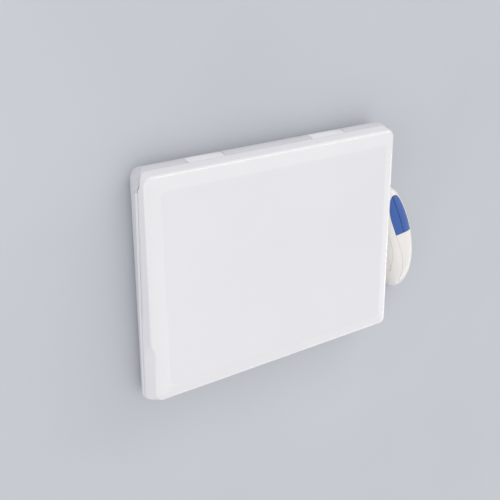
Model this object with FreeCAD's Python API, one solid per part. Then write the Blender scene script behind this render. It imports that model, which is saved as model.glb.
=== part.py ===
# Toy laptop computer with a hinged lid, letter keys and a small mouse.
# Millimetres. X to the user's right, Y to the hinge, Z up.
# Built about the laptop's middle, then shifted so that the origin is the middle
# of the footprint of laptop and mouse together, on the desk (z = 0 under the feet).
import FreeCAD, Part
import math
import os

V = FreeCAD.Vector

# ---------------------------------------------------------------- dimensions
WIDTH = 265.0            # laptop, left to right
FRONT_Y = -103.15        # front wall at the seam
REAR_Y = 99.0            # rear edge of the lid's top
REAR_LOW_Y = 101.6       # rear wall of the lid at the seam
TOP_Z = 35.0             # top of the closed lid
FOOT = 1.5               # height of the rubber feet
R_REAR = 11.0            # plan corner radius of the base at the rear
R_LID = 8.0              # plan corner radius of the lid at the rear
R_FRONT = 5.0            # plan corner radius at the front
EDGE_R = 10.0            # rounding of the tub's lower edges
SEAM_Z = 16.9            # height of the deck at y = 0
SEAM_DEG = 1.95          # slope of the deck, thick at the rear
WALL = 2.4               # wall of the base tub
LID_WALL = 2.2           # wall of the lid shell
RIM_GAP = 0.3            # gap between the closed lid and the deck
PART_W = -3.5            # parting line of tub and deck, below the deck surface
DECK_T = 2.0             # deck plate thickness
TUB_REAR = 84.0          # rear face of the tub and of the deck, before the hinge

HINGE_Y = 94.0
HINGE_Z = 14.0
HINGE_R = 9.15
HINGE_CLEAR = 9.65
BASE_REAR = 103.7        # plan outline that trims the barrel's ends
PIN_R = 2.0
PIN_CLEAR = 0.05
KNUCKLES = [(-85.5, -50.0), (43.0, 80.5)]
KNUCKLE_GAP = 0.4

KEY_PITCH = 21.0
KEY_ROW = 17.5
KEY_W = 17.2
KEY_D = 14.0
KEY_TOP = 2.6            # cap top above the deck
KEY_GAP = 0.4            # gap around a cap in its hole
KEY_TRAVEL = 1.2
ROW_Q_V = 47.5
ROW_A_V = 30.0
ROW_Z_V = 12.5
ROW_SPACE_V = -5.0
SPACE_W = 100.0
ENTER_W = 24.0

PANEL_W = 4.8            # lower face of the lid's inner frame, above the deck
FRAME_T = 1.8
LCD_V = 4.0
LCD_VIEW = (92.0, 62.0)
BEZEL = (118.0, 84.0)

MOUSE_X = 159.4
MOUSE_Y = -22.8
MOUSE_TURN = 11.35
MOUSE_SPLIT = 8.0
MOUSE_FOOT = 0.8

SHIFT_X = -25.4          # laptop's middle, seen from the middle of laptop and mouse

HX = WIDTH / 2.0


# ---------------------------------------------------------------- helpers
def box(x0, y0, z0, x1, y1, z1):
    return Part.makeBox(x1 - x0, y1 - y0, z1 - z0, V(x0, y0, z0))


def cyl(x, y, z0, z1, r):
    return Part.makeCylinder(r, z1 - z0, V(x, y, z0), V(0, 0, 1))


def cyl_x(x0, x1, y, z, r):
    return Part.makeCylinder(r, x1 - x0, V(x0, y, z), V(1, 0, 0))


def round_rect(x0, y0, x1, y1, rf, rr, z):
    """Closed wire: rectangle with front corners rf and rear corners rr."""
    c = math.cos(math.pi / 4)
    e = []

    def line(a, b):
        e.append(Part.LineSegment(V(a[0], a[1], z), V(b[0], b[1], z)).toShape())

    def arc(a, m, b):
        e.append(Part.Arc(V(a[0], a[1], z), V(m[0], m[1], z), V(b[0], b[1], z)).toShape())

    line((x0 + rf, y0), (x1 - rf, y0))
    arc((x1 - rf, y0), (x1 - rf + rf * c, y0 + rf - rf * c), (x1, y0 + rf))
    line((x1, y0 + rf), (x1, y1 - rr))
    arc((x1, y1 - rr), (x1 - rr + rr * c, y1 - rr + rr * c), (x1 - rr, y1))
    line((x1 - rr, y1), (x0 + rr, y1))
    arc((x0 + rr, y1), (x0 + rr - rr * c, y1 - rr + rr * c), (x0, y1 - rr))
    line((x0, y1 - rr), (x0, y0 + rf))
    arc((x0, y0 + rf), (x0 + rf - rf * c, y0 + rf - rf * c), (x0 + rf, y0))
    return Part.Wire(e)


def prism(x0, y0, x1, y1, rf, rr, z0, z1):
    f = Part.Face(round_rect(x0, y0, x1, y1, rf, rr, z0))
    return f.extrude(V(0, 0, z1 - z0))


def pad(cx, cy, w, d, r, z0, z1):
    return prism(cx - w / 2, cy - d / 2, cx + w / 2, cy + d / 2, r, r, z0, z1)


def fuse(items):
    s = items[0]
    if len(items) > 1:
        s = s.fuse(items[1:])
    return s.removeSplitter()


def tilt(s):
    """Put a shape made in the flat deck frame onto the sloping deck."""
    s = s.copy()
    s.rotate(V(0, 0, 0), V(1, 0, 0), SEAM_DEG)
    s.translate(V(0, 0, SEAM_Z))
    return s


def slab(w0, w1):
    """Everything between two heights above the deck surface."""
    return tilt(box(-200, -200, w0, 200, 200, w1))


def seam(y):
    return SEAM_Z + math.tan(math.radians(SEAM_DEG)) * y


def group(items):
    return Part.makeCompound(items)


def solid_of(s):
    """The single solid of a result, or the largest one."""
    sol = sorted(s.Solids, key=lambda q: -q.Volume)
    return sol[0]


OUT = {}


def put(name, s, many=False):
    if not many:
        n = len(s.Solids)
        if n != 1:
            print("solids", name, n, [round(q.Volume, 2) for q in s.Solids])
        s = solid_of(s)
    s = s.copy()
    s.translate(V(SHIFT_X, 0, 0))
    if not s.isValid():
        print("invalid", name)
    OUT[name] = s


# ---------------------------------------------------------------- base tub
def base_wire(inset, z):
    return round_rect(-HX + inset, FRONT_Y + inset, HX - inset, BASE_REAR - inset,
                      max(R_FRONT - inset, 2.0), max(R_REAR - inset, 2.0), z)


def base_prism(inset, z0, z1):
    return Part.Face(base_wire(inset, z0)).extrude(V(0, 0, z1 - z0))


def stack(layers):
    """Solid through (inset, height) outlines of the base, straight between them."""
    s = None
    for (i0, z0), (i1, z1) in zip(layers[:-1], layers[1:]):
        t = Part.makeLoft([base_wire(i0, z0), base_wire(i1, z1)], True, True)
        s = t if s is None else s.fuse(t)
    return s.removeSplitter()


def rounding(r, dz):
    """Inset of the lower edge's rounding at a height below the end of the round."""
    return EDGE_R - math.sqrt(max(r * r - dz * dz, 0.0))


ROUND_Z = FOOT + EDGE_R
FLOOR_TOP = FOOT + WALL
outer = [(rounding(EDGE_R, ROUND_Z - z), z) for z in (FOOT, 1.75, 2.4, 3.6, 5.4, 8.0, ROUND_Z)] + [(0.0, 45.0)]
inner = [(rounding(EDGE_R - WALL, ROUND_Z - z), z) for z in (FLOOR_TOP, 4.3, 5.2, 6.8, 8.8, ROUND_Z)] + [(WALL, 60.0)]
ENV = stack(outer)
CAVITY = stack(inner).common(box(-200, -200, 0, 200, TUB_REAR - WALL, 80))

BATT_Y0, BATT_Y1 = 59.0, 74.0
BATT_X = 72.0
CELL_R = 5.25
CELL_L = 44.5
CELL_Y = 66.5
CELL_Z = 9.0
SCREWS_BASE = [(-116.0, -89.0), (116.0, -89.0), (-122.0, 20.0), (122.0, 20.0),
               (-108.0, 75.5), (108.0, 75.5)]
SPEAKER = (-80.0, -56.0)
SOCKET_Y, SOCKET_Z = 62.0, 11.2


def boss_top(y):
    return 7.0 if y < -50 else (8.0 if y < 50 else 9.0)


tub = ENV.common(box(-200, -200, 0, 200, TUB_REAR, 60)).common(slab(-60.0, PART_W))
tub = tub.cut(CAVITY)
# hinge barrels with their webs; their ends follow the plan outline
barrel_spans = [(-HX - 2.0, KNUCKLES[0][0] - KNUCKLE_GAP),
                (KNUCKLES[0][1] + KNUCKLE_GAP, KNUCKLES[1][0] - KNUCKLE_GAP),
                (KNUCKLES[1][1] + KNUCKLE_GAP, HX + 2.0)]
WEB = [(TUB_REAR - WALL, FOOT), (92.2, FOOT), (94.4, 2.3), (95.8, 4.2), (97.0, 5.9), (97.0, HINGE_Z), (TUB_REAR - WALL, HINGE_Z),
       (TUB_REAR - WALL, FOOT)]
for x0, x1 in barrel_spans:
    low_web = Part.Face(Part.makePolygon([V(x0, y, z) for y, z in WEB])).extrude(V(x1 - x0, 0, 0))
    top_web = box(x0, TUB_REAR + 0.2, 10.0, x1, HINGE_Y, 40.0).common(slab(-60.0, -0.2))
    b = cyl_x(x0, x1, HINGE_Y, HINGE_Z, HINGE_R)
    b = b.fuse([low_web, top_web]).common(ENV)
    tub = tub.fuse(b)
# bosses for the screws, ribs of the battery bay
adds = []
for x, y in SCREWS_BASE:
    adds.append(cyl(x, y, FOOT + 1.0, boss_top(y), 3.3))
RIB_Z = 10.6
adds.append(box(-BATT_X - 3.0, BATT_Y0 - 2.6, FOOT + 0.6, BATT_X + 3.0, BATT_Y0 - 1.0, RIB_Z))
adds.append(box(-BATT_X - 3.0, BATT_Y1 + 1.0, FOOT + 0.6, BATT_X + 3.0, BATT_Y1 + 2.6, RIB_Z))
adds.append(box(-BATT_X - 3.0, BATT_Y0 - 2.6, FOOT + 0.6, -BATT_X - 1.0, BATT_Y1 + 2.6, RIB_Z))
adds.append(box(BATT_X + 1.0, BATT_Y0 - 2.6, FOOT + 0.6, BATT_X + 3.0, BATT_Y1 + 2.6, RIB_Z))
# saddles that carry the cells
for x in (-45.0, -12.0, 12.0, 45.0):
    sad = box(x - 1.0, BATT_Y1 + 0.2, FOOT + 0.6, x + 1.0, BATT_Y1 + 1.4, RIB_Z)
    adds.append(sad)
for x, y in ((-60, -14), (0, -14), (60, -14), (-90, 46), (0, 46), (90, 46)):
    zt = seam(y) - 7.65
    adds.append(cyl(x, y, FOOT + 1.0, zt, 2.4))
tub = tub.fuse(adds)
# battery opening, screw recesses, speaker holes, socket hole
tub = tub.cut(pad(0, (BATT_Y0 + BATT_Y1) / 2, 2 * BATT_X, BATT_Y1 - BATT_Y0, 2.0, -1, FLOOR_TOP + 0.4))
for x, y in SCREWS_BASE:
    tub = tub.cut(cyl(x, y, 0, FOOT + 1.5, 2.9))
    tub = tub.cut(cyl(x, y, 0, 20, 1.35))
holes = []
for i in range(-2, 3):
    for j in range(-2, 3):
        if abs(i) + abs(j) < 4 and not (abs(i) == 2 and abs(j) == 2):
            holes.append(cyl(SPEAKER[0] + 4.2 * i, SPEAKER[1] + 4.2 * j, 0, 6, 1.2))
tub = tub.cut(holes)
tub = tub.cut(cyl_x(HX - 6, HX + 2, SOCKET_Y, SOCKET_Z, 3.7))
pin_spans = [(a - 11.0, b + 12.0) for a, b in KNUCKLES]
for a, b in pin_spans:
    tub = tub.cut(cyl_x(a, b, HINGE_Y, HINGE_Z, PIN_R))
tub = tub.removeSplitter()
put("base_bottom_shell", tub)

# hinge pins
put("hinge_pins", group([cyl_x(a, b, HINGE_Y, HINGE_Z, PIN_R) for a, b in pin_spans]), True)

# ---------------------------------------------------------------- deck with key holes
KEYS = []


def add_row(letters, x_first, v):
    for i, ch in enumerate(letters):
        KEYS.append(("key_" + ch, x_first + KEY_PITCH * i, v, KEY_W, KEY_D))


add_row("qwertyuiop", -94.5, ROW_Q_V)
add_row("asdfghjkl", -89.25, ROW_A_V)
add_row("zxcvbnm", -78.75, ROW_Z_V)
KEYS.append(("key_enter", 103.0, ROW_A_V, ENTER_W, KEY_D))
KEYS.append(("key_space", -5.0, ROW_SPACE_V, SPACE_W, KEY_D - 1.0))

front_of_hinge = box(-200, -200, 0, 200, TUB_REAR, 60)
plate = ENV.common(slab(-DECK_T, 0.0)).common(front_of_hinge)
skirt = ENV.cut(base_prism(WALL, -1.0, 61.0)).fuse(box(-HX, TUB_REAR - WALL, 5, HX, TUB_REAR, 40).common(ENV))
skirt = skirt.common(slab(PART_W, -DECK_T)).common(front_of_hinge)
deck = plate.fuse(skirt)
# inner lip that locates the deck in the tub
lip = base_prism(WALL + 0.8, 0.0, 40.0).cut(base_prism(WALL + 2.2, -1.0, 41.0))
lip = lip.common(slab(PART_W - 1.4, -DECK_T)).common(box(-200, -200, 0, 200, 40, 60))
ledge = base_prism(WALL - 0.4, 0.0, 40.0).cut(base_prism(WALL + 2.2, -1.0, 41.0))
ledge = ledge.common(slab(PART_W + 0.4, -DECK_T)).common(box(-200, -200, 0, 200, 40, 60))
deck = deck.fuse([ledge, lip])
bosses = []
for x, y in SCREWS_BASE:
    b = cyl(x, y, boss_top(y), 30, 3.0).common(slab(-60, -DECK_T + 0.5))
    bosses.append(b)
deck = deck.fuse(bosses)
cuts = []
for n, x, v, w, d in KEYS:
    cuts.append(tilt(pad(x, v, w + 2 * KEY_GAP, d + 2 * KEY_GAP, 2.4, -DECK_T - 0.5, 1.0)))
# slot of the power switch, shallow bed of the number strip
SWITCH_X, SWITCH_V = 104.0, 65.0
STRIP = (-12.0, 66.0, 178.0, 12.0)
cuts.append(tilt(pad(SWITCH_X, SWITCH_V, 13.6, 5.0, 1.2, -DECK_T - 0.5, 1.0)))
cuts.append(tilt(pad(STRIP[0], STRIP[1], STRIP[2] + 0.4, STRIP[3] + 0.4, 2.2, -0.45, 1.0)))
for x, y in SCREWS_BASE:
    cuts.append(cyl(x, y, 0, min(seam(y) - 2.6, 15.0), 1.1))
deck = deck.cut(cuts)
deck = deck.removeSplitter()
put("base_top_deck", deck)

put("number_strip", tilt(pad(STRIP[0], STRIP[1], STRIP[2], STRIP[3], 2.0, -0.45, 0.15)))

# ---------------------------------------------------------------- keys
for n, x, v, w, d in KEYS:
    low = pad(x, v, w, d, 2.0, -2.4, 0.8)
    a = round_rect(x - w / 2, v - d / 2, x + w / 2, v + d / 2, 2.0, 2.0, 0.8)
    b = round_rect(x - w / 2 + 0.9, v - d / 2 + 0.9, x + w / 2 - 0.9, v + d / 2 - 0.9, 1.8, 1.8, 2.2)
    c = round_rect(x - w / 2 + 1.5, v - d / 2 + 1.5, x + w / 2 - 1.5, v + d / 2 - 1.5, 1.6, 1.6, KEY_TOP)
    cap = Part.makeLoft([a, b], True, True)
    cap2 = Part.makeLoft([b, c], True, True)
    flange = pad(x, v, w + 2.0, d + 2.0, 2.0, -3.4, -2.4)
    put(n, tilt(fuse([flange, low, cap, cap2])))

# ---------------------------------------------------------------- rubber mat, boards
mat = pad(0, 20.5, 233.0, 75.0, 3.0, -5.9, -5.1)
domes = [cyl(x, v, -5.3, -4.85, 3.0) for n, x, v, w, d in KEYS]
mat = fuse([mat] + domes)
put("key_dome_mat", tilt(mat))
board = pad(0, 20.5, 231.0, 74.0, 2.0, -7.5, -5.9)
put("main_board", tilt(board))
parts = [tilt(box(-26, 30, -9.5, -6, 50, -7.5)),
         tilt(box(14, 34, -9.2, 30, 46, -7.5)),
         tilt(Part.makeCylinder(4.0, 3.6, V(58, 42, -11.1), V(0, 0, 1))),
         tilt(Part.makeCylinder(3.0, 3.4, V(70, 40, -10.9), V(0, 0, 1))),
         tilt(box(-70, 36, -8.9, -58, 44, -7.5)),
         tilt(box(88, 34, -10.5, 102, 40, -7.5))]
put("board_components", group(parts), True)

# ---------------------------------------------------------------- speaker, batteries, socket
sx, sy = SPEAKER
spk = fuse([cyl(sx, sy, FLOOR_TOP, FLOOR_TOP + 1.6, 14.0),
            Part.makeCone(13.0, 9.0, 1.6, V(sx, sy, FLOOR_TOP + 1.6), V(0, 0, 1)),
            cyl(sx, sy, FLOOR_TOP + 3.2, FLOOR_TOP + 5.0, 9.0)])
put("speaker_driver", spk)

cells = []
for i in (-1, 0, 1):
    x0 = i * CELL_L - CELL_L / 2
    c = fuse([cyl_x(x0, x0 + CELL_L - 1.0, CELL_Y, CELL_Z, CELL_R),
              cyl_x(x0 + CELL_L - 1.0, x0 + CELL_L, CELL_Y, CELL_Z, 1.9)])
    cells.append(c)
put("battery_cells", group(cells), True)
xe = 1.5 * CELL_L
left = fuse([box(-BATT_X - 1.0, CELL_Y - 4.5, 4.2, -BATT_X - 0.5, CELL_Y + 4.5, 13.4),
             Part.makeCone(3.8, 2.4, -xe + BATT_X + 0.5, V(-BATT_X - 0.5, CELL_Y, CELL_Z), V(1, 0, 0))])
right = fuse([box(BATT_X + 0.5, CELL_Y - 4.5, 4.2, BATT_X + 1.0, CELL_Y + 4.5, 13.4),
              Part.makeCone(3.4, 2.2, BATT_X + 0.5 - xe, V(BATT_X + 0.5, CELL_Y, CELL_Z), V(-1, 0, 0))])
put("battery_contacts", group([left, right]), True)

DOOR_GAP = 0.3
door = pad(0, (BATT_Y0 + BATT_Y1) / 2, 2 * BATT_X - 2 * DOOR_GAP, BATT_Y1 - BATT_Y0 - 2 * DOOR_GAP, 1.8, FOOT, FOOT + 1.8)
ribs = [box(-60, BATT_Y0 + 1.0, FOOT + 1.6, 60, BATT_Y0 + 2.0, FOOT + 2.6),
        box(-60, BATT_Y1 - 2.0, FOOT + 1.6, 60, BATT_Y1 - 1.0, FOOT + 2.6)]
door = fuse([door] + ribs)
grip = [box(44 + 3 * i, BATT_Y0 + 3.5, FOOT - 1, 45.2 + 3 * i, BATT_Y1 - 3.5, FOOT + 0.5) for i in range(5)]
door = door.cut(grip)
door = door.cut(cyl(-66, CELL_Y, 0, 10, 1.35)).cut(cyl(-66, CELL_Y, 0, FOOT + 0.9, 2.7))
put("battery_door", door)


def screw(x, y, z_head, head_h, head_r, z_tip, shank_r):
    s = fuse([cyl(x, y, z_head, z_head + head_h, head_r), cyl(x, y, z_head + head_h, z_tip, shank_r)])
    slot = fuse([box(x - 1.5, y - 0.3, z_head - 0.1, x + 1.5, y + 0.3, z_head + 0.55),
                 box(x - 0.3, y - 1.5, z_head - 0.1, x + 0.3, y + 1.5, z_head + 0.55)])
    return s.cut(slot)


put("battery_door_screw", screw(-66.0, CELL_Y, FOOT + 0.1, 0.8, 2.6, FOOT + 1.9, 1.35))
base_screws = []
for x, y in SCREWS_BASE:
    tip = min(seam(y) - 3.0, 14.0)
    base_screws.append(screw(x, y, FOOT + 0.3, 1.2, 2.6, tip, 1.1))
put("base_screws", group(base_screws), True)

feet = []
for x, y in ((-110, -78), (110, -78), (-110, 46), (110, 46)):
    f = cyl(x, y, 0.0, FOOT, 6.0)
    f = f.makeFillet(0.7, [e for e in f.Edges if abs(e.BoundBox.ZMax) < 1e-6])
    feet.append(f)
put("rubber_feet", group(feet), True)

sock = fuse([cyl_x(HX - 9.0, HX - 0.9, SOCKET_Y, SOCKET_Z, 3.5),
             box(HX - 9.0, SOCKET_Y - 5.0, 8.9, HX - 3.3, SOCKET_Y + 5.0, 13.8)])
sock = sock.cut(cyl_x(HX - 8.0, HX + 1, SOCKET_Y, SOCKET_Z, 1.8))
sock = sock.cut(cyl_x(HX - 1.6, HX + 1, SOCKET_Y, SOCKET_Z, 2.6))
put("mouse_socket", sock)

# power switch knob, shown at its left stop
knob = fuse([pad(SWITCH_X - 3.2, SWITCH_V, 6.2, 4.4, 0.9, -2.4, 1.5),
             pad(SWITCH_X - 3.2, SWITCH_V, 14.0, 7.4, 1.0, -3.6, -2.4)])
knob = knob.cut([box(SWITCH_X - 4.9 + 1.4 * i, SWITCH_V - 3, 1.1, SWITCH_X - 4.3 + 1.4 * i, SWITCH_V + 3, 2) for i in range(3)])
put("power_switch_knob", tilt(knob))

# ---------------------------------------------------------------- lid shell
CROWN = [(29.4, 0.0), (30.3, 0.5), (31.2, 1.5), (31.9, 3.0), (34.6, 12.2), (TOP_Z, 15.0)]
LEAN_Z = 13.5            # the front wall leans back above this height
LEAN = 4.8
LEAN_REAR_Z = 20.0       # the rear wall leans forward above this height


def lid_wire(inset, z, lean=LEAN, rear=REAR_Y):
    return round_rect(-HX + inset, FRONT_Y + lean + inset, HX - inset, rear - inset,
                      max(R_FRONT - inset, 0.8), max(R_LID - inset, 0.8), z)


def lid_walls(inset, z_low, z_high):
    """Walls of the lid, moved in by inset, up to a height near the crown."""
    mid = LEAN * (LEAN_REAR_Z - LEAN_Z) / (CROWN[0][0] - LEAN_Z)
    wires = [lid_wire(inset, z_low, 0.0, REAR_LOW_Y), lid_wire(inset, LEAN_Z, 0.0, REAR_LOW_Y),
             lid_wire(inset, LEAN_REAR_Z, mid, REAR_LOW_Y), lid_wire(inset, z_high)]
    w = Part.makeLoft(wires[0:2], True, True)
    return w.fuse([Part.makeLoft(wires[1:3], True, True), Part.makeLoft(wires[2:4], True, True)])


lid = lid_walls(0.0, 2.0, CROWN[0][0])
for (z0, i0), (z1, i1) in zip(CROWN[:-1], CROWN[1:]):
    lid = lid.fuse(Part.makeLoft([lid_wire(i0, z0), lid_wire(i1, z1)], True, True))
lid = lid.removeSplitter()
hollow = lid_walls(LID_WALL, 0.0, 28.6)
hollow = hollow.fuse(Part.Face(lid_wire(5.0, 28.4)).extrude(V(0, 0, 2.2)))
hollow = hollow.fuse(Part.Face(lid_wire(9.0, 30.4)).extrude(V(0, 0, 1.2)))
hollow = hollow.fuse(Part.Face(lid_wire(15.0, 31.4)).extrude(V(0, 0, 1.2)))
shell = lid.cut(hollow)
shell = shell.common(slab(RIM_GAP, 90.0))
SCREWS_LID = [(-122.0, -86.0), (122.0, -86.0), (-122.0, -6.0), (122.0, -6.0), (-119.0, 70.0), (119.0, 70.0)]
bos = []
for x, y in SCREWS_LID:
    b = cyl(x, y, 0, 34.0, 3.1).common(slab(PANEL_W + FRAME_T, 90)).common(lid)
    bos.append(b)
shell = shell.fuse(bos)
# rear edge stays clear of the barrel when the lid swings back
shell = shell.cut(cyl_x(-200, 200, HINGE_Y, HINGE_Z, HINGE_CLEAR))
# knuckles with their webs; flat rear face from the lid's wall down to the round
rise = 27.5
reach = math.hypot(REAR_Y - HINGE_Y, rise - HINGE_Z)
touch = math.atan2(rise - HINGE_Z, REAR_Y - HINGE_Y) - math.acos(HINGE_R / reach)
tr = HINGE_R - 0.05
for x0, x1 in KNUCKLES:
    web = box(x0, HINGE_Y - 6.5, 22.0, x1, REAR_Y, TOP_Z).common(lid)
    kn = cyl_x(x0, x1, HINGE_Y, HINGE_Z, HINGE_R)
    flat = Part.Face(Part.makePolygon([V(x0, HINGE_Y, HINGE_Z),
                                       V(x0, HINGE_Y + tr * math.cos(touch), HINGE_Z + tr * math.sin(touch)),
                                       V(x0, REAR_Y, rise), V(x0, HINGE_Y, rise), V(x0, HINGE_Y, HINGE_Z)]))
    shell = shell.fuse([web, kn, flat.extrude(V(x1 - x0, 0, 0))])
    shell = shell.cut(cyl_x(x0 - 1, x1 + 1, HINGE_Y, HINGE_Z, PIN_R + PIN_CLEAR))
for x, y in SCREWS_LID:
    shell = shell.cut(tilt(Part.makeCylinder(1.1, 8.0, V(x, y, PANEL_W), V(0, 0, 1))))
shell = shell.removeSplitter()
put("lid_outer_shell", shell)

# ---------------------------------------------------------------- lid inside
FRAME_REAR = HINGE_Y - HINGE_R - 1.5
fr = Part.Face(lid_wire(LID_WALL + 0.2, 0.0, 2.3)).extrude(V(0, 0, 60)).common(slab(PANEL_W, PANEL_W + FRAME_T))
fr = fr.cut(box(-200, FRAME_REAR, 0, 200, 120, 60))
fr = fr.cut(tilt(pad(0, LCD_V, 104.0, 74.0, 4.0, 0, 20)))
for x, y in SCREWS_LID:
    fr = fr.cut(tilt(Part.makeCylinder(1.3, 20.0, V(x, y, 0), V(0, 0, 1))))
put("lid_inner_frame", fr)

art = tilt(pad(0, -8.0, 226.0, 154.0, 8.0, PANEL_W - 0.6, PANEL_W))
art = art.cut(tilt(pad(0, LCD_V, 104.0, 74.0, 4.0, 0, 20)))
put("lid_art_panel", art)

bz = pad(0, LCD_V, BEZEL[0], BEZEL[1], 14.0, PANEL_W - 1.5, PANEL_W - 0.6)
be = [e for e in bz.Edges if abs(e.BoundBox.ZMax - (PANEL_W - 1.5)) < 1e-6]
bz = bz.makeFillet(0.6, be)
bz = bz.fuse(pad(0, LCD_V, 103.4, 73.4, 3.8, PANEL_W - 0.6, PANEL_W + 2.6))
bz = bz.cut(pad(0, LCD_V, LCD_VIEW[0], LCD_VIEW[1], 5.0, 0, 20))
bz = bz.cut(pad(0, LCD_V, 99.0, 69.0, 2.0, PANEL_W - 0.2, 20))
put("lcd_bezel", tilt(bz.removeSplitter()))
put("lcd_window", tilt(pad(0, LCD_V, 98.6, 68.6, 1.8, PANEL_W - 0.2, PANEL_W + 0.8)))
put("lcd_module", tilt(pad(0, LCD_V, 98.0, 68.0, 1.5, PANEL_W + 0.8, PANEL_W + 3.4)))
put("lcd_board", tilt(fuse([pad(0, LCD_V, 112.0, 82.0, 2.0, PANEL_W + 3.4, PANEL_W + 5.0),
                            box(-14, LCD_V - 8, PANEL_W + 5.0, 14, LCD_V + 8, PANEL_W + 6.4)])))
ls = []
for x, y in SCREWS_LID:
    s = screw(x, y, PANEL_W - 1.2, 1.2, 2.6, PANEL_W + 7.5, 1.1)
    ls.append(tilt(s))
put("lid_screws", group(ls), True)

# ---------------------------------------------------------------- mouse
# q runs to the nose, p to the right; half width and height along q
M_Q = [55.0, 54.2, 51.5, 44.0, 31.0, 11.0, -9.0, -27.0, -41.0, -49.0, -52.8, -54.0]
M_A = [4.6, 8.2, 12.0, 16.4, 20.0, 22.3, 21.6, 19.0, 14.4, 9.6, 5.6, 2.6]
M_H = [7.0, 8.8, 11.0, 14.4, 19.2, 23.8, 25.2, 23.1, 18.4, 13.4, 9.2, 6.0]


def mouse_body(inset, zlow):
    wires = []
    for q, a, h in zip(M_Q, M_A, M_H):
        a = max(a - inset, 1.5)
        top = h - inset
        q = q * (1.0 - inset / 55.0)
        pts = []
        n = 12
        for k in range(n + 1):
            t = math.pi * k / n
            c, s = math.cos(t), math.sin(t)
            pts.append(V(math.copysign(abs(c) ** 0.80, c) * a if abs(c) > 1e-9 else 0.0, q,
                         zlow + (top - zlow) * (s ** 0.80 if s > 1e-9 else 0.0)))
        bs = Part.BSplineCurve()
        bs.interpolate(pts)
        wires.append(Part.Wire([bs.toShape(), Part.LineSegment(pts[-1], pts[0]).toShape()]))
    return Part.makeLoft(wires, True, False)


def mouse_place(s):
    s = s.copy()
    s.rotate(V(0, 0, 0), V(0, 0, 1), MOUSE_TURN)
    s.translate(V(MOUSE_X, MOUSE_Y, 0))
    return s


# outer outline of each button from the nose back, and its straight inner edge
BUTTONS = {"left": ([(2.55, 47.7), (0.2, 46.6), (-3.4, 41.9), (-6.3, 36.0), (-7.5, 30.0), (-7.4, 21.0), (-6.9, 12.4)], (2.55, 11.6)),
           "right": ([(3.15, 47.9), (6.6, 47.6), (10.4, 45.0), (12.6, 39.4), (13.7, 30.0), (14.2, 20.0), (14.2, 10.0)], (3.15, 11.5))}


def button_face(side, grow):
    line, corner = BUTTONS[side]
    bs = Part.BSplineCurve()
    bs.interpolate([V(p, q, 0) for p, q in line])
    n = 18
    pts = [bs.value(bs.FirstParameter + (bs.LastParameter - bs.FirstParameter) * k / n) for k in range(n + 1)]
    pts.append(V(corner[0], corner[1], 0))
    f = Part.Face(Part.makePolygon(pts + [pts[0]]))
    if grow:
        f = f.makeOffset2D(grow, 2)
    return f


# shallow grooves along the palm cover
GROOVES = [[(-7.2, 11.4), (-5.2, 0.0), (-3.4, -13.0), (-2.9, -25.0), (-3.4, -34.0), (-4.6, -43.0)],
           [(-14.6, 15.0), (-13.3, 3.0), (-13.0, -6.0), (-13.7, -13.0), (-14.6, -20.0), (-14.9, -27.0)],
           [(15.6, 12.0), (14.6, 3.0), (14.2, -6.0), (14.4, -13.0), (14.8, -20.0), (14.9, -27.0)]]


def ribbon(line, half):
    """Plan face of a smooth band along a line."""
    bs = Part.BSplineCurve()
    bs.interpolate([V(p, q, 0) for p, q in line])
    n = 24
    left, right = [], []
    for k in range(n + 1):
        u = bs.FirstParameter + (bs.LastParameter - bs.FirstParameter) * k / n
        c = bs.value(u)
        t = bs.tangent(u)[0]
        left.append(V(c.x - t.y * half, c.y + t.x * half, 0))
        right.append(V(c.x + t.y * half, c.y - t.x * half, 0))
    pts = left + right[::-1]
    return Part.Face(Part.makePolygon(pts + [pts[0]]))


m_out = mouse_body(0.0, MOUSE_FOOT)
m_in = mouse_body(2.0, MOUSE_FOOT + 2.0)
m_shell = m_out.cut(m_in)
big = 80.0
upper = box(-big, -big, MOUSE_SPLIT + 0.15, big, big, big)
lower = box(-big, -big, -5, big, big, MOUSE_SPLIT - 0.15)
SCREWS_M = [(0.0, -36.0), (-13.5, 20.0)]

low = m_shell.common(lower)
low = low.fuse([cyl(x, y, MOUSE_FOOT + 0.5, MOUSE_SPLIT - 0.15, 3.2).common(m_out) for x, y in SCREWS_M])
low = low.fuse([cyl(x, y, MOUSE_FOOT + 1.0, 4.0, 2.4) for x, y in ((-6, -4), (6, -4), (0, 26))])
low = low.cut([cyl(x, y, -1, MOUSE_FOOT + 1.7, 2.7) for x, y in SCREWS_M])
low = low.cut([cyl(x, y, -1, 20, 1.3) for x, y in SCREWS_M])
low = low.cut(box(-5, 8, -1, 5, 16, MOUSE_FOOT + 2.4))
low = low.cut(Part.makeCylinder(1.9, 20, V(0, 46, 4.9), V(0, 1, 0)))
low = low.removeSplitter()
put("mouse_bottom_shell", mouse_place(low))

cov = m_shell.common(upper)
cov = cov.cut([button_face("left", 0.35).extrude(V(0, 0, 60)), button_face("right", 0.35).extrude(V(0, 0, 60))])
groove_skin = m_out.cut(mouse_body(0.45, MOUSE_FOOT))
for line in GROOVES:
    cov = cov.cut(groove_skin.common(ribbon(line, 0.45).extrude(V(0, 0, 60))))
mb = []
for (x, y), tall in zip(SCREWS_M, (40.0, 40.0)):
    mb.append(cyl(x, y, MOUSE_SPLIT + 0.15, tall, 2.2).common(m_out))
cov = cov.fuse(mb)
cov = cov.cut([cyl(x, y, -1, 8.0 + 5.0, 1.05) for x, y in SCREWS_M])
cov = cov.removeSplitter()
put("mouse_palm_cover", mouse_place(cov))

for side, nm, px in (("left", "mouse_left_button", -2.0), ("right", "mouse_right_button", 8.0)):
    b = m_shell.common(button_face(side, 0).extrude(V(0, 0, 60))).common(upper)
    post = cyl(px, 36.0, 7.8, 40, 1.5).common(m_out)
    b = solid_of(b).fuse(post)
    put(nm, mouse_place(b.removeSplitter()))

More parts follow.
